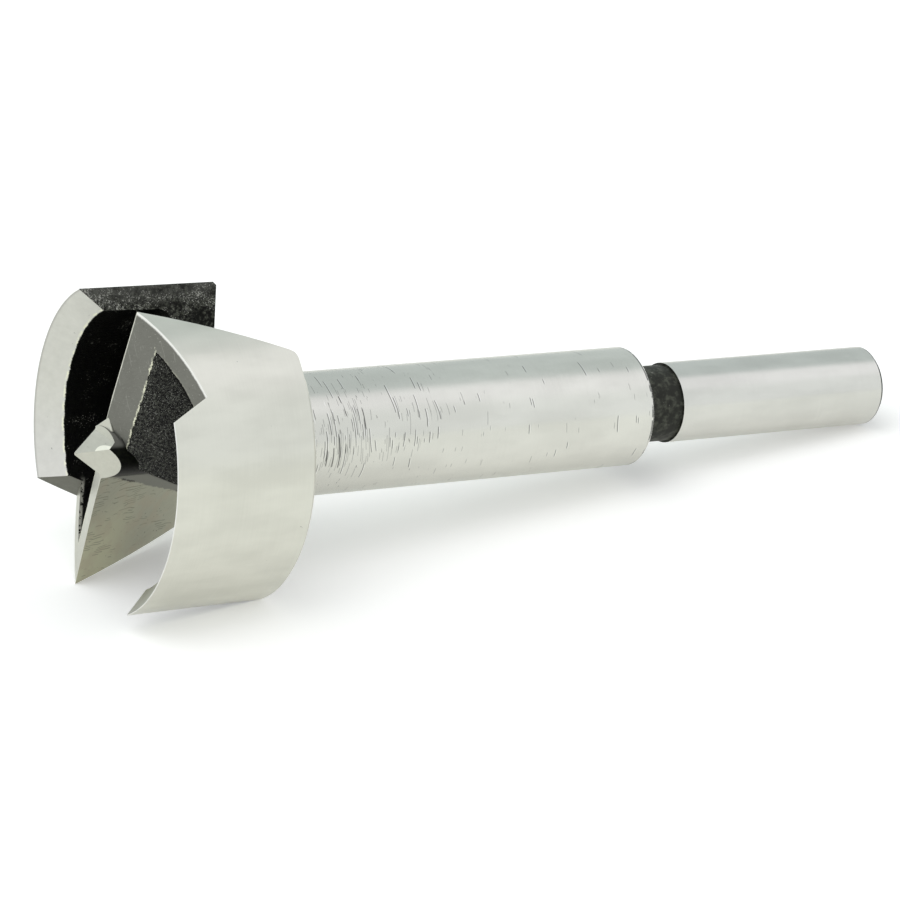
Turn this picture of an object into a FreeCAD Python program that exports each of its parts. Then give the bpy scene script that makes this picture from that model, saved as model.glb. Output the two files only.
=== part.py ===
import FreeCAD, Part
import os
import re
import Sketcher
from FreeCAD import Placement, Rotation, Vector
from math import asin, atan2, cos, pi, radians, sin, sqrt

# A rim-guided boring bit: cutter head, barrel, neck and shank in one forging.
# The bit is drawn standing, with z = 0 at its two cutter corners and the
# shank downward, and is then laid down as it comes to rest. Lengths are in
# millimetres and angles in degrees. Frame "edge" has x out along the first
# cutting edge and y ahead of it, frame "end" has y out along the rim's end.

SIZES = {
    # head
    "head_radius": 19.0,
    "head_length": 17.3,
    "back_taper": 0.15,
    "back_round": 0.4,
    "back_dish": 2.0,
    "rim_height": 0.3,
    "rim_wall": 2.6,
    "rim_draft": 2.0,
    "rim_bevel": 43.5,
    "rim_edge_flat": 0.08,
    "bevel_azimuth": -35.0,
    "bevel_sweep": 120.0,
    "web_thickness": 6.4,
    # cutting edges
    "edge_azimuth": 52.5,
    "edge_lead": 0.88,
    "edge_rise": 1.2,
    "rake": 24.0,
    "clearance": 20.5,
    "bar_width": 3.93,
    "bar_back_lean": 25.0,
    # chip openings
    "valley_start": 0.22,
    "valley_run": 0.736,
    "flank_angle": 62.3,
    "valley_round": 0.7,
    "rim_end_azimuth": 5.9,
    "rim_end_offset": 1.3,
    "corner_round": 1.2,
    "corner_crossing": 12.0,
    "corner_run_out": 12.0,
    # lands, and the notch in the rim behind each land
    "land_ahead": 1.5,
    "land_past_axis": 2.0,
    "land_outside": 6.0,
    "notch_back": 12.5,
    "notch_inward": 3.65,
    "notch_angle": 16.8,
    "notch_lean": 8.8,
    # pocket
    "pocket_overrun": 16.0,
    "pocket_round": 1.5,
    # centre point
    "boss_radius": 3.05,
    "boss_depth": 8.0,
    "point_height": 3.8,
    "point_flat": 0.3,
    "facet_across_azimuth": -43.9,
    "facet_across_slope": 57.2,
    "facet_along_azimuth": 63.1,
    "facet_along_dip": 14.2,
    "facet_along_slope": 56.1,
    "facet_foot": 2.2,
    "foot_slope": 8.4,
    "hollow_radius": 3.6,
    "hollow_depth": 3.4,
    "hollow_start": 25.0,
    "hollow_sweep": 77.0,
    # barrel, neck and shank
    "barrel_radius": 7.355,
    "barrel_length": 53.7,
    "barrel_chamfer": 0.5,
    "root_round": 0.8,
    "undercut_radius": 4.6,
    "undercut_length": 1.0,
    "neck_radius": 4.75,
    "neck_length": 5.7,
    "shank_radius": 5.0,
    "shank_length": 31.05,
    "shank_chamfer": 0.4,
}

os.makedirs("parts", exist_ok=True)
doc = FreeCAD.newDocument("boring_bit")
sheet = doc.addObject("Spreadsheet::Sheet", "sizes")
for row, (word, value) in enumerate(SIZES.items(), start=1):
    sheet.set(f"A{row}", word)
    sheet.set(f"B{row}", str(value))
    sheet.setAlias(f"B{row}", word)
doc.recompute()

body = doc.addObject("PartDesign::Body", "boring_bit")
body.Label = "boring_bit"
doc.recompute()
base = {part.Role: part for part in body.Origin.OriginFeatures}


def named(formula):
    """The formula with every size read from the sheet."""
    return re.sub("[a-z_]+", lambda word: f"sizes.{word[0]}" if word[0] in SIZES else word[0], formula)


def turned(corner, angle):
    """A corner (x, y) after a turn by the angle about the axis of the bit."""
    x, y = corner
    c, s = f"cos( {angle} )", f"sin( {angle} )"
    return f"( {x} ) * {c} - ( {y} ) * {s}", f"( {x} ) * {s} + ( {y} ) * {c}"


def new_sketch(name, place=("0", "0", "0"), turn=("0", "0", "0")):
    """A sketch on the body's base plane, moved and turned by formulas."""
    sketch = body.newObject("Sketcher::SketchObject", name)
    sketch.AttachmentSupport = [(base["XY_Plane"], "")]
    sketch.MapMode = "FlatFace"
    move = " ; ".join(named(value) for value in place)
    spin = " ; ".join(named(value) for value in turn)
    sketch.setExpression("AttachmentOffset", f"placement(vector({move}); rotation({spin}))")
    doc.recompute()
    return sketch


def value_of(formula):
    """The number a formula stands for, worked out by the sheet."""
    return sheet.evalExpression(named(formula).replace("sizes.", ""))


def pin(sketch, line, end, x=None, y=None):
    """Holds one end of a line at a corner given by formulas."""
    for kind, formula in (("DistanceX", x), ("DistanceY", y)):
        if formula is not None:
            rule = Sketcher.Constraint(kind, -1, 1, line, end, value_of(formula))
            number = sketch.addConstraint(rule)
            sketch.setExpression(f"Constraints[{number}]", named(formula))


def outline(sketch, corners, radius=None):
    """A closed outline of straight lines through the corners. Where a radius
    is given, the closing side is an arc that has its centre on the left."""
    points = [Vector(value_of(x), value_of(y), 0) for x, y in corners]
    count = len(points)
    sides = [(points[i], points[(i + 1) % count]) for i in range(count)]
    arc = sides.pop() if radius else None
    for start, end in sides:
        sketch.addGeometry(Part.LineSegment(start, end))
    if arc:
        start, end = arc
        half = 0.5 * (end - start)
        rise = sqrt(value_of(radius) ** 2 - half.Length ** 2) / half.Length
        centre = start + half + rise * Vector(-half.y, half.x, 0)
        first, last = (atan2(point.y - centre.y, point.x - centre.x) for point in arc)
        circle = Part.Circle(centre, Vector(0, 0, 1), value_of(radius))
        sketch.addGeometry(Part.ArcOfCircle(circle, first, last if last > first else last + 2 * pi))
    for i in range(count):
        sketch.addConstraint(Sketcher.Constraint("Coincident", (i - 1) % count, 2, i, 1))
    for i, (x, y) in enumerate(corners):
        pin(sketch, i, 1, x, y)
    if arc:
        number = sketch.addConstraint(Sketcher.Constraint("Radius", count - 1, value_of(radius)))
        sketch.setExpression(f"Constraints[{number}]", named(radius))
    doc.recompute()
    return sketch


def feature(kind, name, profile, **settings):
    """A feature of the body made from a profile, with its sizes bound."""
    item = body.newObject(f"PartDesign::{kind}", name)
    item.Profile = profile
    for key, value in settings.items():
        if isinstance(value, str) and key in ("Length", "Angle", "TaperAngle"):
            item.setExpression(key, named(value))
        else:
            setattr(item, key, value)
    doc.recompute()
    return item


def half_turn(name, items):
    """The same features once more, half a turn round the bit's axis."""
    pattern = body.newObject("PartDesign::PolarPattern", name)
    pattern.Originals = items
    pattern.Axis = (base["Z_Axis"], [""])
    pattern.Angle = 360
    pattern.Occurrences = 2
    body.Tip = pattern
    doc.recompute()
    return pattern


def cut_check(before, tools, name):
    """Stops where a tool takes nothing away from the body as it was before."""
    for tool in tools:
        if before.common(tool.AddSubShape).Volume < 0.001:
            raise RuntimeError(f"{tool.Name} cut nothing")
    print(f"{name:24s} {body.Shape.Volume / 1000:9.4f} cm3")


# The blank: everything that is round about the axis.
head_back = "head_length"
barrel_end = "( head_length + barrel_length )"
neck_end = "( head_length + barrel_length + neck_length )"
shank_end = "( head_length + barrel_length + neck_length + shank_length )"
profile = new_sketch("blank_profile", turn=("0", "0", "90"))
outline(profile, [
    ("0", "rim_height"),
    ("head_radius", "rim_height"),
    ("head_radius - back_taper", f"0 - {head_back} + back_round"),
    ("head_radius - back_taper - back_round", f"0 - {head_back}"),
    ("barrel_radius", f"back_dish - {head_back}"),
    ("barrel_radius", f"barrel_chamfer - {barrel_end}"),
    ("barrel_radius - barrel_chamfer", f"0 - {barrel_end}"),
    ("undercut_radius", f"0 - {barrel_end}"),
    ("undercut_radius", f"0 - {barrel_end} - undercut_length"),
    ("neck_radius", f"0 - {barrel_end} - undercut_length - 2 * ( neck_radius - undercut_radius )"),
    ("neck_radius", f"0 - {neck_end}"),
    ("shank_radius", f"0 - {neck_end}"),
    ("shank_radius", f"shank_chamfer - {shank_end}"),
    ("shank_radius - shank_chamfer", f"0 - {shank_end}"),
    ("0", f"0 - {shank_end}"),
])
blank = feature("Revolution", "blank", profile, ReferenceAxis=(profile, ["V_Axis"]), Angle=360)
print(f"{'blank':24s} {blank.Shape.Volume / 1000:9.4f} cm3")


def edges_where(test):
    """The names of the body's edges that pass the test."""
    return [f"Edge{number}" for number, edge in enumerate(body.Shape.Edges, start=1)
            if test([vertex.Point for vertex in edge.Vertexes])]


def round_edges(name, edges, radius):
    """A fillet of the body along the named edges."""
    before = body.Tip
    item = body.newObject("PartDesign::Fillet", name)
    item.Base = (before, edges)
    item.setExpression("Radius", named(radius))
    doc.recompute()
    print(f"{name:24s} {body.Shape.Volume / 1000:9.4f} cm3, {len(edges)} edges")


def on_ring(radius, level):
    """A test for edges that lie on a ring about the axis."""
    ring, height = value_of(radius), value_of(level)
    return lambda ends: all(abs(sqrt(end.x ** 2 + end.y ** 2) - ring) < 0.01
                            and abs(end.z - height) < 0.01 for end in ends)


round_edges("root_round", edges_where(on_ring("barrel_radius", "back_dish - head_length")),
            "root_round")


# The chip openings. Each is bounded by a leaning rake face, the flank of the
# hub and the end face of the rim; rake face and flank meet in the valley,
# which runs outward as it goes down. All of them are planes.
def valley(level):
    """The valley of the far chip opening at a level, in the edge frame."""
    return (f"valley_run * ( {level} ) - valley_start",
            f"0 - edge_lead - tan( rake ) * ( {level} )")


def bar_back(level):
    """How far behind the axis the back of the bar lies at a level."""
    return (f"edge_lead - bar_width * ( 1 - tan( bar_back_lean ) * tan( clearance ) )"
            f" + tan( bar_back_lean ) * ( {level} )")


def opening_section(name, level):
    """The chip opening at a level, with the cove along the valley."""
    to_end = "( edge_azimuth - rim_end_azimuth )"
    x, y = valley(level)
    reach = "( valley_round * tan( flank_angle / 2 ) )"
    on_rake = turned((f"{x} - {reach}", y), to_end)
    on_flank = turned((f"{x} + {reach} * cos( flank_angle )", f"{y} - {reach} * sin( flank_angle )"),
                      to_end)
    outside = turned((f"{x} - 2 * head_radius", y), to_end)
    drop = f"tan( flank_angle - ( {to_end} ) )"
    foot = f"{on_flank[1]} - ( rim_end_offset - ( {on_flank[0]} ) ) * {drop}"
    section = new_sketch(name, ("0", "0", level), ("rim_end_azimuth", "0", "0"))
    return outline(section, [on_rake, outside, ("rim_end_offset", "0 - 2 * head_radius"),
                             ("rim_end_offset", foot), on_flank], "valley_round")


top_level = "rim_height + 0.1"
below_head = "0 - head_length - 1"
before = body.Shape
opening = feature("SubtractiveLoft", "chip_opening", opening_section("opening_top", top_level),
                  Sections=[opening_section("opening_bottom", below_head)], Ruled=True)
half_turn("chip_openings", [opening])
cut_check(before, [opening], "chip openings")


# The pockets behind the cutting bars, drafted like the forging they are.
def pocket_section(name, level):
    """The pocket at a level, from the bar's back to the inside of the rim."""
    x, y = valley(level)
    back = bar_back(level)
    hub_corner = f"{x} + ( {y} - ( {back} ) ) / tan( flank_angle )"
    reach = f"( head_radius - rim_wall + tan( rim_draft ) * ( {level} ) )"
    end = "( rim_end_azimuth - 90 - pocket_overrun - edge_azimuth )"
    on_flank = (f"0.7 * ( {x} ) + 0.3 * ( {hub_corner} )", f"0.7 * ( {y} ) + 0.3 * ( {back} )")
    section = new_sketch(name, ("0", "0", level), ("edge_azimuth", "0", "0"))
    return outline(section, [
        (f"sqrt( {reach} ^ 2 - ( {back} ) ^ 2 )", back),
        (hub_corner, back),
        on_flank,
        (f"{reach} * cos( {end} )", f"{reach} * sin( {end} )"),
    ], reach)


floor_level = "web_thickness - head_length"
before = body.Shape
pocket = feature("SubtractiveLoft", "pocket", pocket_section("pocket_top", top_level),
                 Sections=[pocket_section("pocket_floor", floor_level)], Ruled=True)
half_turn("pockets", [pocket])
cut_check(before, [pocket], "pockets")


# The walls of the pockets run into each other and into the floor in rounds.
def in_edge_frame(point):
    angle = radians(-value_of("edge_azimuth"))
    return Vector(point.x * cos(angle) - point.y * sin(angle),
                  point.x * sin(angle) + point.y * cos(angle), point.z)


def at_back_foot(ends):
    """Whether an edge is the foot of a bar's back wall, on either side."""
    floor_z, back = value_of(floor_level), value_of(bar_back(floor_level))
    return all(abs(end.z - floor_z) < 0.01 and abs(abs(in_edge_frame(end).y) - abs(back)) < 0.01
               for end in ends)


at_rim_foot = on_ring(f"head_radius - rim_wall + tan( rim_draft ) * ( {floor_level} )", floor_level)
round_edges("pocket_rounds", edges_where(lambda ends: at_back_foot(ends) or at_rim_foot(ends)),
            "pocket_round")

# The ground lands: one slanting plane behind each cutting edge, over the bar
# and the rim, as far as the notch.
corner_x = "sqrt( head_radius ^ 2 - edge_lead ^ 2 )"
place = turned((corner_x, "edge_lead"), "edge_azimuth") + ("0",)
inward = f"{corner_x} + land_past_axis"
land_sketch = new_sketch("land_outline", place, ("edge_azimuth", "edge_rise", "clearance"))
outline(land_sketch, [
    ("land_outside", "land_ahead"),
    (f"0 - ( {inward} )", "land_ahead"),
    (f"0 - ( {inward} )", f"( {inward} - notch_inward ) * tan( notch_angle ) - notch_back"),
    ("land_outside", "0 - notch_back - ( land_outside + notch_inward ) * tan( notch_angle )"),
])
before = body.Shape
land = feature("Pocket", "land", land_sketch, Length="head_length", TaperAngle="notch_lean",
               Reversed=True)
half_turn("lands", [land])
cut_check(before, [land], "lands")

# The back outer corner of each wing, rounded off beside the rake face.
back_y = "( edge_lead - tan( rake ) * head_length )"
back_x = f"sqrt( ( head_radius - back_taper ) ^ 2 - {back_y} ^ 2 )"
lean = f"atan( 0 - {back_y} * sin( rake ) / {back_x} )"
steep = f"( {lean} + corner_crossing * 1 deg )"
middle_y = "corner_round * cos( corner_crossing )"
middle_x = f"( 0 - ( {middle_y} - {middle_y} * sin( {lean} ) ) / cos( {lean} ) )"
arc_top = (f"{middle_x} + corner_round * cos( {steep} )", f"{middle_y} - corner_round * sin( {steep} )")
arc_foot = (f"{middle_x} + corner_round * sin( corner_crossing )", "0")
place = turned((back_x, back_y), "edge_azimuth") + ("0 - head_length",)
corner_sketch = new_sketch("corner_outline", place,
                           ("edge_azimuth + corner_run_out", "0", "90 - rake + corner_run_out"))
outline(corner_sketch, [
    arc_top,
    (f"{arc_top[0]} + 2 * corner_round * sin( {steep} )",
     f"{arc_top[1]} + 2 * corner_round * cos( {steep} )"),
    ("3 * corner_round", "0 - 2 * corner_round"),
    (f"{arc_foot[0]} - 2 * corner_round * cos( corner_crossing )",
     "0 - 2 * corner_round * sin( corner_crossing )"),
    arc_foot,
], "corner_round")
before = body.Shape
corner = feature("Pocket", "corner", corner_sketch, Length="4 * corner_round", Midplane=True)
half_turn("corners", [corner])
cut_check(before, [corner], "wing corners")

# The knife edge of the rim: a bevel on the inside from the notch to the end.
bevel_sketch = new_sketch("bevel_profile", turn=("bevel_azimuth", "0", "90"))
bevel_in = "( rim_wall + 1 )"
outline(bevel_sketch, [
    ("head_radius - rim_edge_flat", "rim_height"),
    (f"head_radius - {bevel_in}", f"rim_height - ( {bevel_in} - rim_edge_flat ) * tan( 90 - rim_bevel )"),
    (f"head_radius - {bevel_in}", "rim_height + 1"),
    ("head_radius - rim_edge_flat", "rim_height + 1"),
])
before = body.Shape
bevel = feature("Groove", "rim_bevel", bevel_sketch, ReferenceAxis=(bevel_sketch, ["V_Axis"]),
                Angle="bevel_sweep", Midplane=True)
half_turn("rim_bevels", [bevel])
cut_check(before, [bevel], "rim bevels")

# The hollow ground round the foot of the centre point, on its open side.
hollow_sketch = new_sketch("hollow_profile", turn=("hollow_start - hollow_sweep / 2", "0", "90"))
outline(hollow_sketch, [("0", "0 - hollow_depth"), ("hollow_radius", "0 - hollow_depth"),
                        ("hollow_radius", "rim_height + 1"), ("0", "rim_height + 1")])
before = body.Shape
hollow = feature("Groove", "point_hollow", hollow_sketch,
                 ReferenceAxis=(hollow_sketch, ["V_Axis"]), Angle="hollow_sweep",
                 Midplane=True)
half_turn("point_hollows", [hollow])
cut_check(before, [hollow], "hollows")

# The centre point: a round boss ground to a four-sided point. The facets
# above the cutting edges break into a flatter foot that runs to the land.
boss_sketch = new_sketch("boss_circle", ("0", "0", "0 - boss_depth"))
boss_sketch.addGeometry(Part.Circle(Vector(0, 0, 0), Vector(0, 0, 1), value_of("boss_radius")))
boss_sketch.addConstraint(Sketcher.Constraint("Coincident", 0, 3, -1, 1))
number = boss_sketch.addConstraint(Sketcher.Constraint("Radius", 0, value_of("boss_radius")))
boss_sketch.setExpression(f"Constraints[{number}]", named("boss_radius"))
feature("Pad", "boss", boss_sketch, Length="boss_depth + point_height")


def facet(name, turn, tip, slope, foot, beyond=None):
    """One slanting face of the point, cut across the whole boss."""
    brow = "0.5 * point_flat"
    corners = [(brow, tip), (foot, f"{tip} - ( {foot} - {brow} ) * tan( {slope} )")]
    if beyond:
        run = "( boss_radius + 0.5 )"
        corners.append((run, f"{corners[1][1]} - ( {run} - {foot} ) * tan( {beyond} )"))
    corners += [(corners[-1][0], "2 * point_height"), (brow, "2 * point_height")]
    sketch = new_sketch(f"facet_{name}_profile", turn=turn)
    return feature("Pocket", f"facet_{name}", outline(sketch, corners),
                   Length="3 * boss_radius", Midplane=True)


before = body.Shape
facets = [
    facet("across", ("facet_across_azimuth", "0", "90"), "point_height",
          "facet_across_slope", "( boss_radius + 0.1 )"),
    facet("along", ("facet_along_azimuth", "0", "90 + facet_along_dip"),
          "point_height * cos( facet_along_dip )", "facet_along_slope", "facet_foot", "foot_slope"),
]
half_turn("facets", facets)
cut_check(before, facets, "point facets")

# At rest the bit lies on the end of its shank and on two corners of its head,
# one on each side of a chip opening. The plane through them is the floor.
def head_corner(azimuth, ahead, radius, level):
    """A corner on the outside of the head, off a radial line by a distance."""
    reach, height = value_of(radius), value_of(level)
    angle = radians(value_of(azimuth)) + asin(value_of(ahead) / reach)
    return Vector(reach * cos(angle), reach * sin(angle), height)


def floor_plane(first, second):
    """The upward direction of the floor under two corners, and its distance."""
    end_z = value_of(f"shank_chamfer - {shank_end}")
    across = first - second
    flat = Vector(across.x, across.y, 0)
    sideways = Vector(-across.y, across.x, 0).normalize()
    sideways = -sideways if sideways * first > 0 else sideways
    rise = 0
    for _ in range(40):
        level = sideways - flat * (rise * across.z / (flat * flat))
        rise = (level * first + level.Length * value_of("shank_radius")) / (end_z - first.z)
    upward = Vector(level.x, level.y, rise).normalize()
    return upward, upward * first


back_radius = "head_radius - back_taper"
wing_corners = [head_corner("edge_azimuth + 180", "edge_lead", "head_radius", "0"),
                head_corner("edge_azimuth + 180", back_y, back_radius, "0 - head_length")]
rim_corners = [head_corner("rim_end_azimuth - 90", "rim_end_offset", "head_radius", "rim_height"),
               head_corner("rim_end_azimuth - 90", "rim_end_offset", back_radius,
                           "back_round - head_length")]


def lowest_corner(plane):
    return min(plane[0] * corner - plane[1] for corner in wing_corners + rim_corners)


upward, depth = max((floor_plane(wing, rim) for wing in wing_corners for rim in rim_corners),
                    key=lowest_corner)
tip_way = Vector(0, 0, 1) - upward * upward.z
back_way = -tip_way.normalize()
side_way = upward.cross(back_way)
lying = Placement(FreeCAD.Matrix(*back_way, 0, *side_way, 0, *upward, 0, 0, 0, 0, 1))
box = body.Shape.transformGeometry(lying.toMatrix()).optimalBoundingBox(False, False)
body.Placement = Placement(Vector(-box.Center.x, -box.Center.y, -depth), lying.Rotation)
doc.recompute()
print("resting direction", upward, "depth", round(depth, 3), "lowest point", round(box.ZMin - depth, 4))

failed = [item.Name for item in doc.Objects if "Invalid" in item.State or "Error" in item.State]
shape = body.Shape
print("failed:", failed, "valid:", shape.isValid(), "solids:", len(shape.Solids), "faces:", len(shape.Faces))
if failed or shape.isNull() or not shape.isValid() or len(shape.Solids) != 1:
    raise RuntimeError("the bit did not build")
shape.exportStep("parts/boring_bit.step")
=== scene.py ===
# %% [markdown]
# # Dressing a rim-guided boring bit
#
# The bit is one forging: a cutter head with two cutting edges and two sharp rims, a ground barrel,
# a black neck and a ground shank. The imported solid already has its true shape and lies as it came
# to rest. This lesson keeps that shape, smooths its round surfaces, sorts its faces by how the
# real steel was finished, and gives each finish its own procedural material.

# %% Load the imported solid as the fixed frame
from math import cos, degrees, hypot, radians, sin, tan

import bmesh
import bpy
from mathutils import Matrix, Vector


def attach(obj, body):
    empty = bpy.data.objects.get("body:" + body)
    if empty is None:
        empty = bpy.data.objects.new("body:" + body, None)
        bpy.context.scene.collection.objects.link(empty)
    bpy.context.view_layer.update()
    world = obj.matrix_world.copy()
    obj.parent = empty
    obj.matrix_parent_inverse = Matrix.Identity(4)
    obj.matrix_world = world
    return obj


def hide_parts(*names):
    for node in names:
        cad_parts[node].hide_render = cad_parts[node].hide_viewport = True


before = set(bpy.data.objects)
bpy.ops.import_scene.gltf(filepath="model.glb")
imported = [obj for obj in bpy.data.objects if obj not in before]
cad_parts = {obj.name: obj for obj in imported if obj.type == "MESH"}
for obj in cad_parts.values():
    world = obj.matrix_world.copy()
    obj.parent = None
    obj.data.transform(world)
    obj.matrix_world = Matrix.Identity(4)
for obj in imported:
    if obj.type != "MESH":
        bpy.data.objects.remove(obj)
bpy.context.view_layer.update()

# %% [markdown]
# ## The bit's own axes
#
# The bit lies tilted, on one cutter corner, the rim and the end of the shank. Its features are
# simple only seen along its own axis: z points from the shank to the centre point, and z = 0 is
# the height of the two cutter corners. Everything that depends on a place on the bit is asked in
# these axes, in millimetres. The same turn is used twice: for sorting faces here, and in a Mapping
# node, so that each pattern follows the bit and not the floor.

# %% From the frame of the row to the axes of the bit
BIT_AXES = Matrix((
    (0.043102, -0.937472, 0.345382),
    (0.116091, 0.348061, 0.930256),
    (-0.992303, 0.0, 0.123834),
))
BIT_ORIGIN = Vector((-51.8487, 0.0, 18.2551))


def in_bit(point):
    """A point given in metres in the row frame, in millimetres along the bit's own axes."""
    return BIT_AXES @ (1000 * point - BIT_ORIGIN)


shank_end = Vector((0.055072, 0.0, 0.004912))
print("shank end in the bit's axes:", [round(x, 2) for x in in_bit(shank_end)])

# %% [markdown]
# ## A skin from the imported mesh
#
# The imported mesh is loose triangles, so shading would show every facet. A copy is merged at its
# shared corners, and triangles that lie in one plane become one face again. That gives flat faces
# that stay flat and round ones that can be shaded smooth.

# %% Merge a copy and join what is flat
SAME_CORNER, SAME_PLANE = 1e-6, radians(0.4)
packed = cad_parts["boring_bit"]
skin = bmesh.new()
skin.from_mesh(packed.data)
loose = len(skin.verts)
bmesh.ops.remove_doubles(skin, verts=skin.verts, dist=SAME_CORNER)
bmesh.ops.dissolve_limit(skin, angle_limit=SAME_PLANE, verts=skin.verts, edges=skin.edges,
                         delimit=set())
print(loose, "loose corners became", len(skin.verts), "shared ones, in", len(skin.faces), "faces")

# %% [markdown]
# ## Sorting the faces by finish
#
# A smith and a grinder leave different skins. The rim, the barrel and the shank are ground round,
# the lands and the rakes are ground flat, the pockets keep the black scale of the forging, and
# the neck is turned and blackened. Some faces of one finish are also split by the light they get:
# the far land is a paler copy, as painted light, and the far half of the pockets and the point's
# end faces are darker copies, as painted shade. A face is told by its place and by the way it
# looks, in the axes of the bit. The head repeats itself after half a turn, so each test takes both
# halves.

# %% Angles and directions of the head
EDGE_TURN, POINT_TURN = radians(52.5), radians(63.1)
CLEARANCE, RAKE = radians(20.5), radians(24.0)
EDGE_AHEAD = 0.88
EDGE_X, EDGE_Y = cos(EDGE_TURN), sin(EDGE_TURN)
LAND_UP = Vector((sin(CLEARANCE) * EDGE_Y, -sin(CLEARANCE) * EDGE_X, cos(CLEARANCE)))
RAKE_OUT = Vector((-cos(RAKE) * EDGE_Y, cos(RAKE) * EDGE_X, -sin(RAKE)))
END_OUT = Vector((0.9947, 0.1028, 0.0))
HALF_TURN = Matrix(((-1, 0, 0), (0, -1, 0), (0, 0, 1)))


def looks(way, normal, nearly=0.995):
    """Whether a face looks the given way, or that way after half a turn about the axis."""
    return max(way.dot(normal), (HALF_TURN @ way).dot(normal)) > nearly


def outward_along_edge(place):
    """How far out a point lies along the cutting edges, negative on the second half."""
    return place.x * EDGE_X + place.y * EDGE_Y


def before_rake(place):
    """How far a point lies in front of the nearer rake face, in millimetres."""
    ahead = place.y * EDGE_X - place.x * EDGE_Y
    return (ahead if outward_along_edge(place) > 0 else -ahead) - EDGE_AHEAD - place.z * tan(RAKE)


print("the cutting edges lie", EDGE_AHEAD, "mm ahead of the axis")

# %% What each face is
FINISHES = ["rim", "bevel", "land", "painted_light_land", "notch", "rake", "rim_end", "point", "shaded_point_end",
            "forged", "deep", "hollow", "back", "barrel", "neck", "shank"]
SHANK_END, SHANK_TOP, NECK_TOP, BARREL_TOP, BACK_TOP = -107.36, -76.72, -70.98, -15.4, -15.0
WALL_TOP, NOTCH_LOW, NOTCH_HIGH, LAND_TOP = -6.0, -4.8, 0.31, 0.25
ROOT_LOW, ROOT_WALL, POINT_LOW = -3.5, -3.2, -1.0
LAND_SIDE, POINT_SIDE, ROOT_SIDE, END_SIDE, BARREL_SIDE = 3.0, 3.06, 3.7, 8.0, 8.3
NOTCH_SIDE, BEVEL_SIDE, RIM_SIDE, LIP_SIDE = 15.5, 15.9, 18.3, 18.8


def finish_of(place, normal):
    """The finish of a face, from its middle and its normal in the bit's axes."""
    from_axis = hypot(place.x, place.y)
    outward = (normal.x * place.x + normal.y * place.y) / max(from_axis, 1e-6)
    if place.z < SHANK_TOP:
        # The end face of the shank also takes the dark copy of the scale that paints shade in the
        # far pocket.
        return "deep" if place.z < SHANK_END else "shank"
    if place.z < NECK_TOP:
        return "neck"
    if from_axis < BARREL_SIDE and place.z < BARREL_TOP:
        return "barrel"
    if normal.z < -0.75 and place.z < BACK_TOP and outward < 0.75:
        return "back"
    if from_axis > RIM_SIDE and outward > 0.5:
        return "rim"
    lip = place.z > LAND_TOP and from_axis > LIP_SIDE
    inside_rim = from_axis > BEVEL_SIDE and place.z > WALL_TOP and outward < -0.5
    if lip or (inside_rim and 0.5 < normal.z < 0.9):
        return "bevel"
    wedge = looks(LAND_UP, normal) and place.z > WALL_TOP
    flat_top = place.z > LAND_TOP and from_axis > LAND_SIDE and normal.z > 0.9
    if wedge or flat_top:
        # The far land takes a paler copy of the land steel: painted light.
        return "land" if outward_along_edge(place) > 0 else "painted_light_land"
    if from_axis > NOTCH_SIDE and NOTCH_LOW < place.z < NOTCH_HIGH and 0.3 < normal.z < 0.6:
        return "notch"
    if from_axis > END_SIDE and looks(END_OUT, normal, 0.9995):
        return "rim_end"
    if from_axis < POINT_SIDE and normal.z > 0.4 and place.z > POINT_LOW:
        # The end faces of the point that look one way take a darker copy of the point steel:
        # painted shade.
        along = normal.x * cos(POINT_TURN) + normal.y * sin(POINT_TURN)
        return "shaded_point_end" if abs(along) > 0.5 else "point"
    root_wall = outward < -0.8 or place.z < ROOT_WALL or abs(normal.z) < 0.1
    if from_axis < ROOT_SIDE and place.z > ROOT_LOW and root_wall:
        return "hollow"
    if looks(RAKE_OUT, normal, 0.4) and -0.05 < before_rake(place) < 1.3:
        return "rake"
    # The far half of the pockets takes a darker copy of the scale: painted shade.
    return "forged" if place.y * EDGE_X < place.x * EDGE_Y else "deep"


area = dict.fromkeys(FINISHES, 0.0)
for face in skin.faces:
    kind = finish_of(in_bit(face.calc_center_median()), BIT_AXES @ face.normal)
    face.material_index = FINISHES.index(kind)
    face.smooth = True
    area[kind] += 1e6 * face.calc_area()
print("square millimetres:", {kind: round(covered, 1) for kind, covered in area.items()})

# %% Corners stay crisp, rounds are shaded smooth
CRISP_FROM = 24
for edge in skin.edges:
    edge.smooth = len(edge.link_faces) == 2 and degrees(edge.calc_face_angle(0)) < CRISP_FROM
bit_mesh = bpy.data.meshes.new("steel_bit")
skin.to_mesh(bit_mesh)
skin.free()
steel_bit = bpy.data.objects.new("steel_bit", bit_mesh)
bpy.context.scene.collection.objects.link(steel_bit)
weights = steel_bit.modifiers.new("flat faces rule", "WEIGHTED_NORMAL")
weights.keep_sharp = True
weights.weight = 80
crisp = sum(edge.use_edge_sharp for edge in bit_mesh.edges)
print("the skin has", len(bit_mesh.polygons), "faces and", crisp, "crisp edges")

# %% [markdown]
# ## A short way to write materials
#
# Each finish is a small tree of nodes. One helper adds a node with its settings and inputs, and
# the next ones give it short names: sums, noise, a smooth step and a colour laid over another.

# %% Nodes, numbers and colours
def add(tree, kind, inputs=None, **settings):
    """A node of the given kind. Inputs are values, or outputs of other nodes."""
    node = tree.nodes.new("ShaderNode" + kind)
    for word, value in settings.items():
        setattr(node, word, value)
    for socket, value in (inputs or {}).items():
        if isinstance(value, bpy.types.NodeSocket):
            tree.links.new(value, node.inputs[socket])
        else:
            node.inputs[socket].default_value = value
    return node


def math(tree, operation, *values):
    """The result of one Math node."""
    return add(tree, "Math", dict(enumerate(values)), operation=operation).outputs[0]


def plus(tree, first, second):
    """The sum of two numbers."""
    return math(tree, "ADD", first, second)


def less(tree, first, second):
    """The first number less the second."""
    return math(tree, "SUBTRACT", first, second)


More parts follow.
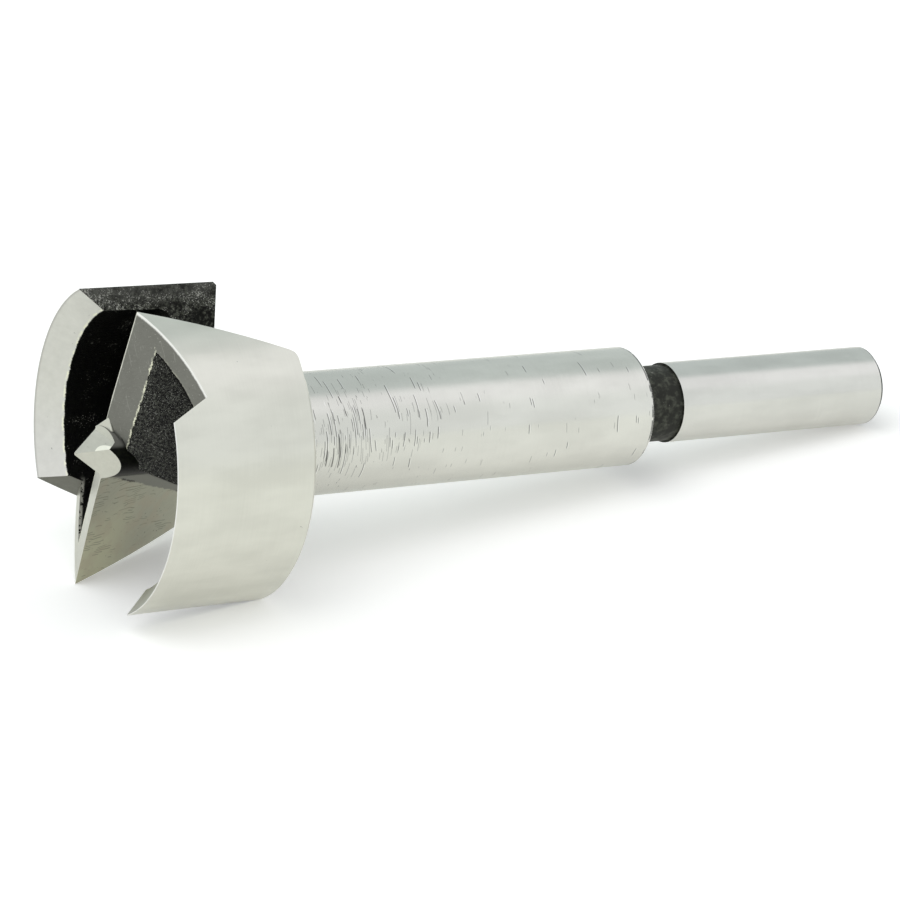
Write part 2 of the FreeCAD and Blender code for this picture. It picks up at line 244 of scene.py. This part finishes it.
def times(tree, first, second):
    """The product of two numbers."""
    return math(tree, "MULTIPLY", first, second)


def weighed(tree, first, second, share):
    """Two numbers together, the second with the given share."""
    return plus(tree, times(tree, first, 1.0 - share), times(tree, second, share))


def step(tree, value, low, high):
    """0 at low, 1 at high, and a smooth way between. High may be the smaller number."""
    return add(tree, "MapRange", {"Value": value, "From Min": low, "From Max": high},
               interpolation_type="SMOOTHSTEP").outputs[0]


def tint(tree, share, first, second):
    """A colour between two others."""
    node = add(tree, "Mix", {0: share}, data_type="RGBA", clamp_factor=True)
    for socket, value in ((6, first), (7, second)):
        if isinstance(value, bpy.types.NodeSocket):
            tree.links.new(value, node.inputs[socket])
        else:
            node.inputs[socket].default_value = (*value, 1)
    return node.outputs[2]


def laid(tree, colour, mask, share, over):
    """A colour with another laid over it to the given share, where the mask is 1."""
    return tint(tree, times(tree, mask, share), colour, over)


def grey(level, warm=0.0, green=0.0):
    """A grey from its level on screen, 0 to 255, made slightly warm or green."""
    shifts = (warm / 2, warm / 2 + green, -warm)
    return tuple((max(level + shift, 0) / 255) ** 2.2 for shift in shifts)


print("a middle grey in the shader:", [round(part, 3) for part in grey(128)])

# %% Places on the bit, noise and the shader
INTO_BIT = BIT_AXES.to_euler()
BIT_SHIFT = -(BIT_AXES @ BIT_ORIGIN)


def bit_places(tree):
    """The place on the bit in millimetres, its x, y and z, and its distance from the axis."""
    spot = add(tree, "TexCoord").outputs["Object"]
    place = add(tree, "Mapping", {"Vector": spot, "Location": BIT_SHIFT, "Rotation": INTO_BIT,
                                  "Scale": (1000, 1000, 1000)}).outputs[0]
    x, y, z = add(tree, "SeparateXYZ", {"Vector": place}).outputs
    out = math(tree, "SQRT", plus(tree, times(tree, x, x), times(tree, y, y)))
    return place, x, y, z, out


def along_edge(tree, x, y):
    """How far out a point lies along the cutting edges, negative on the second half."""
    return plus(tree, times(tree, x, EDGE_X), times(tree, y, EDGE_Y))


def ahead_of_axis(tree, x, y):
    """How far ahead of the axis a point lies, seen along the nearer cutting edge."""
    ahead = less(tree, times(tree, y, EDGE_X), times(tree, x, EDGE_Y))
    return times(tree, ahead, math(tree, "SIGN", along_edge(tree, x, y)))


def joined(tree, x, y, z):
    """Three numbers as one place for a texture."""
    return add(tree, "CombineXYZ", {0: x, 1: y, 2: z}).outputs[0]


def grain(tree, place, scale, detail=2.0, roughness=0.5):
    """Soft noise between 0 and 1."""
    return add(tree, "TexNoise", {"Vector": place, "Scale": scale, "Detail": detail,
                                  "Roughness": roughness}).outputs["Fac"]


def steel(name, metallic):
    """A new material with its shader, ready for its colour, roughness and bump."""
    made = bpy.data.materials.new(name)
    made.use_nodes = True
    tree = made.node_tree
    tree.nodes.clear()
    shader = add(tree, "BsdfPrincipled", {"Metallic": metallic})
    add(tree, "OutputMaterial", {0: shader.outputs[0]})
    return made, tree, shader


def give(tree, shader, colour, roughness, height, depth):
    """Links colour, roughness and bump to the shader. The bump's depth is in millimetres."""
    bump = add(tree, "Bump", {"Height": height, "Distance": depth / 1000, "Strength": 1.0})
    tree.links.new(colour, shader.inputs["Base Color"])
    tree.links.new(roughness, shader.inputs["Roughness"])
    tree.links.new(bump.outputs[0], shader.inputs["Normal"])


print("one unit of a texture's place is one millimetre on the bit")

# %% [markdown]
# ## Ground round: barrel, shank and rim
#
# The wheel that ground these faces ran round the bit, and so do the marks on them. A scratch could
# be a level line of a stretched noise, but such lines swell and close into loops. Here the length
# of the bit is cut into narrow rows instead, each row may carry one thin line, and a noise says
# where it does. The scratches come in groups: the barrel is marked near the head, and hardly at
# all near the neck. The back of the head was turned, so its marks are rings.

# %% Thin lines in rows
ROW_APART, LINE_END = 3.7, 0.03


def stretched(tree, place, across, along, shift=0.0):
    """The place for a texture that is drawn out round the bit, or along it."""
    return add(tree, "Mapping", {"Vector": place, "Location": (shift, shift, shift),
                                 "Scale": (across, across, along)}).outputs[0]


def fringe(tree, distance, width):
    """1 on an edge, fading to 0 at the given width from it."""
    apart = math(tree, "ABSOLUTE", distance)
    return less(tree, 1.0, step(tree, apart, 0.3 * width, width))


def hairs(tree, level, place, pitch, width, need):
    """Thin lines in rows. The level crosses the rows, and a noise at the place above the
    need says where a row carries its line."""
    row = math(tree, "DIVIDE", level, pitch)
    apart = add(tree, "SeparateXYZ", {"Vector": place}).outputs
    own_row = times(tree, math(tree, "FLOOR", row), ROW_APART)
    carried = grain(tree, joined(tree, apart[0], apart[1], own_row), 1.0, 0.0)
    carried = step(tree, less(tree, carried, need), 0.0, LINE_END)
    line = fringe(tree, less(tree, math(tree, "FRACT", row), 0.5), width)
    return times(tree, line, carried)


print("a line takes part of its row and ends within", LINE_END, "of the noise")

# %% The scratches of the barrel
SCRATCHES = {
    "dark": dict(lean=-0.02, beside=0.0, across=0.30, shift=0.0, pitch=0.31, width=0.24,
                 alone=0.76, grouped=0.23),
    # The pale lines just beside the dark ones are painted glints, not marks.
    "glint_beside": dict(lean=-0.02, beside=0.12, across=0.30, shift=0.0, pitch=0.31, width=0.22,
                  alone=0.76, grouped=0.23),
    "deep": dict(lean=-0.07, beside=0.0, across=0.16, shift=7.0, pitch=0.83, width=0.12,
                 alone=0.86, grouped=0.27),
    "faint": dict(lean=0.03, beside=0.0, across=0.50, shift=11.0, pitch=0.23, width=0.26,
                  alone=0.78, grouped=0.30),
}


def scratch(tree, place, y, bent, group, kind):
    """One kind of scratch. Its rows lean a little, and it is less rare within a group."""
    how = SCRATCHES[kind]
    row = plus(tree, plus(tree, bent, times(tree, y, how["lean"])), how["beside"])
    need = less(tree, how["alone"], times(tree, group, how["grouped"]))
    where = stretched(tree, place, how["across"], 1.0, how["shift"])
    return hairs(tree, row, where, how["pitch"], how["width"], need)


def scratched(tree, place, y, z, marked, colour, height, worn):
    """Colour and height with groups of scratches, thick at one height and none at another. Beside
    some of them runs a painted glint.
    """
    thick, none = marked
    reach = step(tree, z, none, thick)
    group = grain(tree, stretched(tree, place, 0.17, 0.42, 5.0), 1.0, 2.0)
    group = step(tree, plus(tree, group, times(tree, reach, 0.18)), 0.49, 0.60)
    side = less(tree, step(tree, y, -7.0, -2.0), times(tree, step(tree, y, 3.0, 5.5), 0.7))
    group = times(tree, group, times(tree, reach, side))
    bent = plus(tree, z, times(tree, grain(tree, place, 0.11, 1.0), 2.0))
    lines = {kind: scratch(tree, place, y, bent, group, kind) for kind in SCRATCHES}
    nicks = step(tree, grain(tree, stretched(tree, place, 0.9, 5.0, 3.0), 1.0, 1.0), 0.755, 0.785)
    nicks = times(tree, nicks, step(tree, z, none - 10.0, thick))
    nicks = math(tree, "MAXIMUM", lines["deep"], nicks)
    colour = laid(tree, colour, reach, 0.4, worn)
    # A painted glint beside some dark scratches.
    colour = laid(tree, colour, lines["glint_beside"], 0.6, grey(250))
    colour = laid(tree, colour, lines["faint"], 0.5, grey(115))
    colour = laid(tree, colour, lines["dark"], 0.78, grey(90))
    colour = laid(tree, colour, nicks, 0.85, grey(65))
    cut = math(tree, "MAXIMUM", lines["dark"], nicks)
    return colour, less(tree, height, times(tree, cut, 0.5))


print("kinds of scratch:", sorted(SCRATCHES))

# %% A finish ground round
def ground(name, level, warm, rough, marked=None, edge_highlight=None, dark=None, groove=None, rings=False):
    """Ground steel with soft clouds. Marked, the edge-highlight pair and dark are pairs of heights
    over which scratches, a painted highlight along an edge and a dark edge begin, and groove is the
    height of a turned line."""
    made, tree, shader = steel(name, 1.0)
    place, x, y, z, out = bit_places(tree)
    if rings:
        fine = grain(tree, joined(tree, out, z, 0.0), 4.0, 3.0)
    else:
        fine = grain(tree, stretched(tree, place, 0.15, 5.0), 1.0, 3.0)
    cloud = grain(tree, stretched(tree, place, 0.30, 0.11), 1.0, 3.0)
    tone = step(tree, weighed(tree, fine, cloud, 0.85), 0.3, 0.7)
    colour = tint(tree, tone, grey(level - 6, warm), grey(level + 6, warm))
    height = times(tree, fine, 0.008)
    if marked:
        worn = grey(level - 14, warm)
        colour, height = scratched(tree, place, y, z, marked, colour, height, worn)
    pits = step(tree, grain(tree, place, 1.9, 2.0, 0.6), 0.77, 0.80)
    colour = laid(tree, colour, pits, 0.5, grey(110))
    # A painted highlight along an edge, between two heights.
    if edge_highlight:
        colour = tint(tree, step(tree, z, *edge_highlight), colour, grey(250))
    if groove:
        broken = step(tree, grain(tree, place, 1.1, 2.0), 0.42, 0.5)
        line = fringe(tree, less(tree, z, groove), 0.12)
        colour = tint(tree, times(tree, line, broken), colour, grey(120))
    if dark:
        colour = tint(tree, step(tree, z, *dark), colour, grey(60))
    roughness = plus(tree, rough - 0.03, times(tree, cloud, 0.06))
    give(tree, shader, colour, roughness, height, depth=0.01)
    return made


# The pale band at the barrel's end by the neck and the one at the top of the rim are painted
# highlights along those edges.
finish = {
    "barrel": ground("ground_barrel", 225, 3, rough=0.24, marked=(-24.0, -50.0),
                     edge_highlight=(-70.50, -70.56), dark=(-70.95, -70.98), groove=-70.40),
    "shank": ground("ground_shank", 220, 2, rough=0.22, dark=(-107.22, -107.3)),
    "rim": ground("ground_rim", 222, 5, rough=0.30, edge_highlight=(0.14, 0.30)),
    "back": ground("turned_back", 196, 3, rough=0.38, rings=True),
}
print("ground finishes:", sorted(finish))

# %% [markdown]
# ## Ground flat: lands, bevels, rakes and the centre point
#
# These were ground last, after the forging, so they are clean steel. The lines run one way over
# each face. The rakes look down and see little light, and have short ripples across them and a
# touch of rust; a paler part of each is painted light, and the dark band in the cove beside the
# valley is painted shade. Where the wheel stopped, the edge of a ground face is chipped, and its
# shine is a painted highlight. That line follows the real edge of the solid, so it is drawn from
# the distance to that edge, made uneven by a noise. Painted highlights also run along the outer rim
# and the cutting edges, and one shaped like a leaf lies on the point.

# %% Where the ground faces end
BAR_BACK = (-2.365, tan(radians(25)))
RIM_INSIDE = (16.4, tan(radians(2)))
EDGE_LINE = (EDGE_AHEAD, tan(RAKE))
RIM_RADIUS = 18.95


def from_line(tree, value, z, line, slope):
    """How far a value lies past a line that leans with the height."""
    return less(tree, value, plus(tree, line, times(tree, z, slope)))


def ragged(tree, place, distance, depth):
    """A distance from an edge, made uneven as a chipped edge is."""
    coarse, fine = grain(tree, place, 1.1, 3.0, 0.6), grain(tree, place, 5.0, 2.0, 0.6)
    chips = less(tree, weighed(tree, coarse, fine, 0.4), 0.40)
    return less(tree, distance, times(tree, chips, depth))


def wheel_stop(tree, place, x, y, z, out, colour, corner, chips):
    """A painted highlight as a broken line where the wheel stopped, with the black of the pocket
    behind it.
    A corner has the back of the bar besides the inside of the rim."""
    behind = from_line(tree, ahead_of_axis(tree, x, y), z, *BAR_BACK)
    inside = from_line(tree, out, z, *RIM_INSIDE)
    edge = math(tree, "MAXIMUM", behind, inside) if corner else inside
    broken = ragged(tree, place, edge, chips)
    highlight_reach = step(tree, grain(tree, place, 0.8, 2.0), 0.38, 0.54)
    if corner:
        along_bar = step(tree, less(tree, behind, inside), -0.3, 0.1)
        highlight_reach = times(tree, highlight_reach, plus(tree, 0.25, times(tree, along_bar, 0.75)))
    # Painted highlight: a pale broken line just inside the edge.
    edge_highlight = times(tree, fringe(tree, less(tree, broken, 0.05), 0.14), highlight_reach)
    colour = laid(tree, colour, edge_highlight, 0.85, grey(235, 14))
    return tint(tree, less(tree, 1.0, step(tree, broken, -0.06, 0.02)), colour, grey(22))


def painted_leaf_highlight(tree, place, z, colour):
    """A painted highlight: a pale leaf on each end face of the point, bounded by an arched line."""
    ridge_off = add(tree, "VectorMath", {0: place, 1: (0.61, -0.58, 0.54)},
                    operation="DOT_PRODUCT").outputs["Value"]
    half_way = math(tree, "DIVIDE", less(tree, z, 1.25), 0.85)
    arch = less(tree, 1.0, times(tree, half_way, half_way))
    leaf = plus(tree, less(tree, ridge_off, 2.052), times(tree, arch, 0.62))
    return tint(tree, step(tree, leaf, 0.0, 0.06), colour, grey(226, 8))


print("the rim's inside lies", RIM_INSIDE[0], "mm from the axis, its outside", RIM_RADIUS)

# %% Ripples, rust and the cove on the rakes
RUST = (0.46, 0.40, 0.31)


def rippled(tree, place, x, y, z, level, warm, colour):
    """The colour of a rake face: painted light on its outer part, ripples, dots, rust, painted
    shade in the cove and the black over the edge.
    """
    across = math(tree, "ABSOLUTE", along_edge(tree, x, y))
    row = plus(tree, across, times(tree, z, 0.25))
    row = plus(tree, row, times(tree, grain(tree, place, 0.25), 1.6))
    groups = less(tree, grain(tree, place, 0.35, 2.0), times(tree, across, 0.020))
    need = less(tree, 0.80, times(tree, step(tree, groups, 0.18, 0.34), 0.33))
    where = joined(tree, times(tree, z, 0.40), across, 0.0)
    ripple = hairs(tree, row, where, pitch=0.33, width=0.28, need=need)
    # Painted light: the outer part of the rake, towards the corners, is made paler.
    painted_light = times(tree, step(tree, across, 6.0, 14.0), step(tree, z, -10.0, -3.0))
    colour = tint(tree, painted_light, colour, grey(level + 20, warm + 6))
    colour = laid(tree, colour, ripple, 0.52, grey(level - 72, warm))
    dot = step(tree, grain(tree, place, 3.4, 1.0), 0.73, 0.77)
    colour = laid(tree, colour, dot, 0.6, grey(60))
    rust = step(tree, grain(tree, place, 0.5, 3.0), 0.45, 0.65)
    colour = laid(tree, colour, rust, 0.35, RUST)
    # Painted shade: a dark band in the cove beside the valley.
    cove_shade = less(tree, across, less(tree, 2.9, times(tree, z, 0.61)))
    wander = less(tree, grain(tree, place, 0.9, 3.0), 0.5)
    cove_shade = plus(tree, cove_shade, times(tree, wander, 0.8))
    colour = tint(tree, step(tree, cove_shade, 0.12, -0.12), colour, grey(level - 40, 4))
    gaps = step(tree, grain(tree, place, 0.45, 2.0), 0.5, 0.6)
    torn = times(tree, fringe(tree, cove_shade, 0.18), gaps)
    colour = laid(tree, colour, torn, 0.8, grey(45))
    # Painted shade: the cove ahead of the rake's plane turns dark grey, and further on comes the
    # black of the pocket.
    off = from_line(tree, ahead_of_axis(tree, x, y), z, *EDGE_LINE)
    colour = tint(tree, step(tree, off, 0.05, 0.35), colour, grey(88, 2))
    return tint(tree, step(tree, off, 0.5, 1.3), colour, grey(40, 2))


print("rust as a colour:", RUST)

# %% A finish ground flat
def flat_ground(name, level, warm, rough, lines, dots, cove=False, edges=(), chips=0.9):
    """Steel ground flat. The lines are a turn and a scale of the noise in the bit's axes, the dots
    the level of noise above which a pale speck shows."""
    made, tree, shader = steel(name, 1.0)
    place, x, y, z, out = bit_places(tree)
    turned = add(tree, "Mapping", {"Vector": place, "Rotation": lines[0], "Scale": lines[1]})
    fine = grain(tree, turned.outputs[0], 1.0, 3.0, 0.6)
    cloud = grain(tree, place, 0.35, 3.0)
    speck = step(tree, grain(tree, place, 5.0, 2.0, 0.6), dots, dots + 0.06)
    pit = step(tree, grain(tree, place, 2.6, 2.0, 0.6), 0.74, 0.78)
    tone = weighed(tree, fine, cloud, 0.4)
    colour = tint(tree, tone, grey(level - 16, warm), grey(level + 16, warm))
    colour = laid(tree, colour, speck, 0.5, grey(level + 70, warm))
    colour = laid(tree, colour, pit, 0.7, grey(40))
    if "scratched" in edges:
        slant = plus(tree, x, times(tree, grain(tree, place, 0.3, 1.0), 1.5))
        where = joined(tree, times(tree, y, 0.45), z, 3.0)
        thin = hairs(tree, slant, where, pitch=0.45, width=0.11, need=0.66)
        colour = laid(tree, colour, thin, 0.35, grey(level + 60, warm))
    if cove:
        colour = rippled(tree, place, x, y, z, level, warm, colour)
    if "back" in edges:
        colour = wheel_stop(tree, place, x, y, z, out, colour, "corner" in edges, chips)
    if "rim" in edges:
        colour = laid(tree, colour, step(tree, out, 18.70, 18.90), 0.5, grey(150))
    # A painted highlight along the rim's outer edge.
    if "outer" in edges:
        rim_highlight = ragged(tree, place, less(tree, RIM_RADIUS, out), 0.3)
        colour = tint(tree, fringe(tree, rim_highlight, 0.42), colour, grey(252))
    # A painted highlight shaped like a leaf on the point.
    if "leaf" in edges:
        colour = painted_leaf_highlight(tree, place, z, colour)
    # A painted highlight along the cutting edge.
    if "front" in edges:
        front = from_line(tree, ahead_of_axis(tree, x, y), z, *EDGE_LINE)
        front = fringe(tree, ragged(tree, place, front, 0.2), 0.16)
        colour = laid(tree, colour, front, 0.9, grey(235, 6))
    roughness = plus(tree, rough - 0.05, times(tree, fine, 0.1))
    give(tree, shader, colour, roughness, less(tree, fine, pit), depth=0.01)
    return made


ALONG_EDGE, UNTURNED = (0, 0, -EDGE_TURN), (0, 0, 0)
LONG_LINES, CROSS_LINES = (ALONG_EDGE, (0.6, 6, 6)), (ALONG_EDGE, (6, 0.7, 0.7))
WIDE_CLOUDS, CLOUDS, UPRIGHT = (UNTURNED, (1, 1, 1)), (UNTURNED, (2, 2, 2)), (UNTURNED, (2, 2, 0.5))
LAND_EDGES = ("back", "corner", "outer", "front", "scratched")
flat = {
    "bevel": flat_ground("bevel_steel", 215, 3, 0.38, WIDE_CLOUDS, 0.9, edges=("back", "rim"),
                         chips=0.4),
    "land": flat_ground("land_steel", 122, 3, 0.40, LONG_LINES, 0.66, edges=LAND_EDGES),
    # The same ground steel as the near land, made paler: painted light.
    "painted_light_land": flat_ground("painted_light_land_steel", 208, 5, 0.38, LONG_LINES, 0.7,
                               edges=LAND_EDGES),
    "rake": flat_ground("rake_steel", 169, 10, 0.36, CROSS_LINES, 0.82, cove=True),
    "point": flat_ground("point_steel", 207, 6, 0.36, CLOUDS, 0.9),
    # A darker copy of the point steel: painted shade, with a painted highlight shaped like a leaf.
    "shaded_point_end": flat_ground("shaded_point_end_steel", 178, 6, 0.36, CLOUDS, 0.9, edges=("leaf",)),
    "notch": flat_ground("notch_steel", 118, 4, 0.40, UPRIGHT, 0.8),
}
finish.update(flat)
print("flat ground finishes:", list(flat))

# %% [markdown]
# ## As forged: pockets, neck and rim ends
#
# Scale from the forge is nearly black and rough. The light that its grains catch is painted into
# its colour as glints, and the far half of the pockets takes a copy of the scale painted nearly
# black, as painted shade. The scale isn't whole everywhere. The rim ends are bare in patches
# towards the outside, the steel is torn pale along the lower edge of the far land, and the foot of
# the point is clear beside the lands. Each of these is laid over the scale from its distance to the
# edge that it follows.

# %% Where the scale is gone
def torn_edge(tree, place, x, y, z, out, colour):
    """Bare steel torn along the lower edge of the far land, towards the rim."""
    ahead = ahead_of_axis(tree, x, y)
    below = less(tree, times(tree, less(tree, ahead, EDGE_AHEAD), tan(CLEARANCE)), z)
    gaps = step(tree, grain(tree, place, 2.2, 2.0, 0.6), 0.40, 0.50)
    reach = times(tree, step(tree, ahead, -10.6, -9.4), step(tree, out, 11.0, 13.0))
    torn = times(tree, times(tree, fringe(tree, below, 0.42), gaps), reach)
    return laid(tree, colour, torn, 0.85, grey(190, 8))


def clear_foot(tree, x, y, z, colour):
    """Clear steel at the foot of the point, beside the lands."""
    beside = step(tree, math(tree, "ABSOLUTE", along_edge(tree, x, y)), 2.0, 2.4)
    clear = times(tree, beside, step(tree, z, -1.5, -0.6))
    return tint(tree, clear, colour, grey(105, 3))


print("bare steel shows through the scale in three places")

# %% Black finishes
def forged(name, level, spread, rough, glint_from, glint_level, size, depth, gloss, patchy=0.4,
           bare_rim=None, clear_root=False, torn=False):
    """Black scale with painted glints on its grains. Of the two glint numbers, the first is the
    noise above which a grain gets a painted glint and the second its level; size is the noise's
    scale, and patchy how far the grains keep together."""
    made, tree, shader = steel(name, 0.0)
    shader.inputs["Specular IOR Level"].default_value = gloss
    place, x, y, z, out = bit_places(tree)
    coarse = grain(tree, place, size, 4.0, 0.65)
    fine = grain(tree, place, 2.4 * size, 2.0, 0.7)
    cloud = grain(tree, place, 0.45, 3.0, 0.6)
    # Painted highlight: grains above the noise level are given a pale glint.
    painted_glint = step(tree, weighed(tree, fine, cloud, patchy), glint_from, glint_from + 0.07)
    shade = step(tree, weighed(tree, coarse, cloud, 0.5 * patchy), 0.44, 0.66)
    colour = tint(tree, shade, grey(level - spread, 2, 1), grey(level + spread, 4, 2))
    if bare_rim:
        bare = times(tree, step(tree, out, *bare_rim), step(tree, cloud, 0.3, 0.6))
        colour = tint(tree, bare, colour, grey(90, 2))
    if torn:
        colour = torn_edge(tree, place, x, y, z, out, colour)
    if clear_root:
        colour = clear_foot(tree, x, y, z, colour)
    # The painted glints are laid over the scale.
    colour = laid(tree, colour, painted_glint, 0.85, grey(glint_level, 4))
    roughness = less(tree, rough + 0.1, times(tree, coarse, 0.2))
    give(tree, shader, colour, roughness, plus(tree, coarse, times(tree, fine, 0.5)), depth)
    return made


black = {
    "forged": forged("forged_scale", 50, 46, 0.42, 0.575, 205, size=3.2, depth=0.60, gloss=0.35,
                     patchy=0.12),
    # The far pocket's scale, painted nearly black as painted shade.
    "deep": forged("painted_shade_scale", 6, 6, 0.55, 0.60, 120, size=2.2, depth=0.2, gloss=0.12, torn=True),
    "hollow": forged("smooth_scale", 16, 10, 0.40, 0.80, 90, size=2.0, depth=0.03, gloss=0.3,
                     clear_root=True),
    "neck": forged("black_neck", 56, 18, 0.45, 0.64, 150, size=1.0, depth=0.03, gloss=0.2,
                   patchy=0.3),
    "rim_end": forged("rim_end_scale", 46, 34, 0.50, 0.56, 175, size=2.6, depth=0.2, gloss=0.12,
                      patchy=0.45, bare_rim=(15.5, 20.5)),
}
finish.update(black)
for kind in FINISHES:
    bit_mesh.materials.append(finish[kind])
print(len(bit_mesh.materials), "finishes on the bit")

# %% [markdown]
# ## A foot left by the grinding wheel
#
# Beside the centre point the wheel left a thin web of steel. It bridges the corner between the
# round root of the point and the land of one cutting edge. It is a small wedge with five corners,
# the lowest of them sunk in the steel, so a hull over those corners gives its whole shape.

# %% The foot beside the point
FOOT_CORNERS = ((-0.34, 2.85, 1.00), (2.05, 3.90, 0.24), (2.35, 2.20, 0.02), (1.20, 2.30, 0.40),
                (1.4, 2.2, -2.2))
FOOT_ROUND = 0.00005


def from_bit(x, y, z):
    """A point in metres in the row frame, from millimetres along the bit's own axes."""
    return (BIT_AXES.transposed() @ Vector((x, y, z)) + BIT_ORIGIN) / 1000


wedge = bmesh.new()
for corner in FOOT_CORNERS:
    wedge.verts.new(from_bit(*corner))
bmesh.ops.convex_hull(wedge, input=wedge.verts)
bmesh.ops.bevel(wedge, geom=wedge.edges, offset=FOOT_ROUND, segments=2, profile=0.5,
                affect="EDGES", material=-1)
bmesh.ops.recalc_face_normals(wedge, faces=wedge.faces)
foot_mesh = bpy.data.meshes.new("point_foot")
wedge.to_mesh(foot_mesh)
wedge.free()
foot_mesh.materials.append(finish["point"])
point_foot = bpy.data.objects.new("point_foot", foot_mesh)
bpy.context.scene.collection.objects.link(point_foot)
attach(point_foot, "root")
print("the foot has", len(foot_mesh.polygons), "faces")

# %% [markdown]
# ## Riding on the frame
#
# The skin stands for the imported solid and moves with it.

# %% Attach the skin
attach(steel_bit, "root")
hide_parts("boring_bit")
print("the skin rides on root and stands for boring_bit")

# %% [markdown]
# ## Floor, light and camera
#
# The photograph has a plain white ground. The floor is a wide pale plane just under the bit. Rays
# from the camera and from the metal find a little white on it besides the light that falls there,
# so it looks white and still keeps the soft shadow. Metal shows what is round it: the sky is grey
# towards the back of the studio, white overhead and a little darker towards the front, and these
# levels draw the bands along the barrel.

# %% Floor
FLOOR_HALF = 6.0
PALE, SEEN_PALE, MIRRORED_PALE = (0.86, 0.86, 0.84), (0.95, 0.95, 0.95), (0.60, 0.60, 0.57)
NO_GLOW, SEEN_GLOW, MIRRORED_GLOW = (0.0, 0.0, 0.0), (0.22, 0.22, 0.22), (0.335, 0.335, 0.318)
plate = bmesh.new()
bmesh.ops.create_grid(plate, x_segments=1, y_segments=1, size=FLOOR_HALF)
floor_mesh = bpy.data.meshes.new("floor")
plate.to_mesh(floor_mesh)
plate.free()
floor = bpy.data.objects.new("floor", floor_mesh)
bpy.context.scene.collection.objects.link(floor)
paint = bpy.data.materials.new("pale_floor")
paint.use_nodes = True
tree = paint.node_tree
tree.nodes.clear()
path = add(tree, "LightPath")
seen, mirrored = path.outputs["Is Camera Ray"], path.outputs["Is Glossy Ray"]
colour = tint(tree, mirrored, tint(tree, seen, PALE, SEEN_PALE), MIRRORED_PALE)
glow = tint(tree, mirrored, tint(tree, seen, NO_GLOW, SEEN_GLOW), MIRRORED_GLOW)
matte = add(tree, "BsdfDiffuse", {"Color": colour})
white = add(tree, "Emission", {"Color": glow, "Strength": 1.0})
both = add(tree, "AddShader", {0: matte.outputs[0], 1: white.outputs[0]})
add(tree, "OutputMaterial", {0: both.outputs[0]})
floor_mesh.materials.append(paint)
print("floor at z =", floor.location.z)

# %% World and lamps
SKY_BACK, SKY_OVER, SKY_FRONT = (0.60, 0.65, 0.635), (0.97, 0.97, 0.97), (0.86, 0.88, 0.86)
world = bpy.data.worlds.new("studio")
bpy.context.scene.world = world
world.use_nodes = True
tree = world.node_tree
tree.nodes.clear()
looked = add(tree, "TexCoord").outputs["Generated"]
frontwards = add(tree, "VectorMath", {0: looked, 1: (0.0, -1.0, 0.0)},
                 operation="DOT_PRODUCT").outputs["Value"]
sky = tint(tree, step(tree, frontwards, -0.16, 0.08), SKY_BACK, SKY_OVER)
sky = tint(tree, step(tree, frontwards, 0.36, 0.60), sky, SKY_FRONT)
sky = tint(tree, add(tree, "LightPath").outputs["Is Camera Ray"], sky, (1.0, 1.0, 1.0))
background = add(tree, "Background", {"Color": sky, "Strength": 1.0})
add(tree, "OutputWorld", {0: background.outputs[0]})


def softbox(name, place, aim, size, power):
    """A square soft lamp at a place, turned to a point, both in metres."""
    lamp = bpy.data.lights.new(name, "AREA")
    lamp.shape, lamp.size, lamp.energy = "SQUARE", size, power
    holder = bpy.data.objects.new(name, lamp)
    bpy.context.scene.collection.objects.link(holder)
    holder.location = place
    holder.rotation_euler = (Vector(aim) - Vector(place)).to_track_quat("-Z", "Y").to_euler()
    return holder


overhead = softbox("overhead softbox", (-0.55, 0.10, 1.15), (0, 0, 0), size=1.2, power=4.5)
print("one lamp:", overhead.name, "at", [round(x, 2) for x in overhead.location])

# %% [markdown]
# ## The camera of the photograph
#
# The camera was fitted to the outline of the bit in the photograph: a long lens, from the left and
# a little above, with no shift.

# %% Camera
FOCAL_LENGTH, SENSOR = 146.502, 36.0
CAMERA_PLACE = (-0.211037, -0.351347, 0.184930)
RIGHT = Vector((0.865373, -0.501087, 0.006425))
UP = Vector((0.194099, 0.346974, 0.917570))
BACK = Vector((-0.462011, -0.792793, 0.397523))
lens = bpy.data.cameras.new("photograph")
lens.lens, lens.sensor_width = FOCAL_LENGTH, SENSOR
camera = bpy.data.objects.new("photograph", lens)
bpy.context.scene.collection.objects.link(camera)
camera.matrix_world = Matrix((RIGHT, UP, BACK)).transposed().to_4x4()
camera.location = CAMERA_PLACE
bpy.context.scene.camera = camera
bpy.context.scene.view_settings.view_transform = "Standard"
print("camera at", [round(x, 3) for x in camera.location])
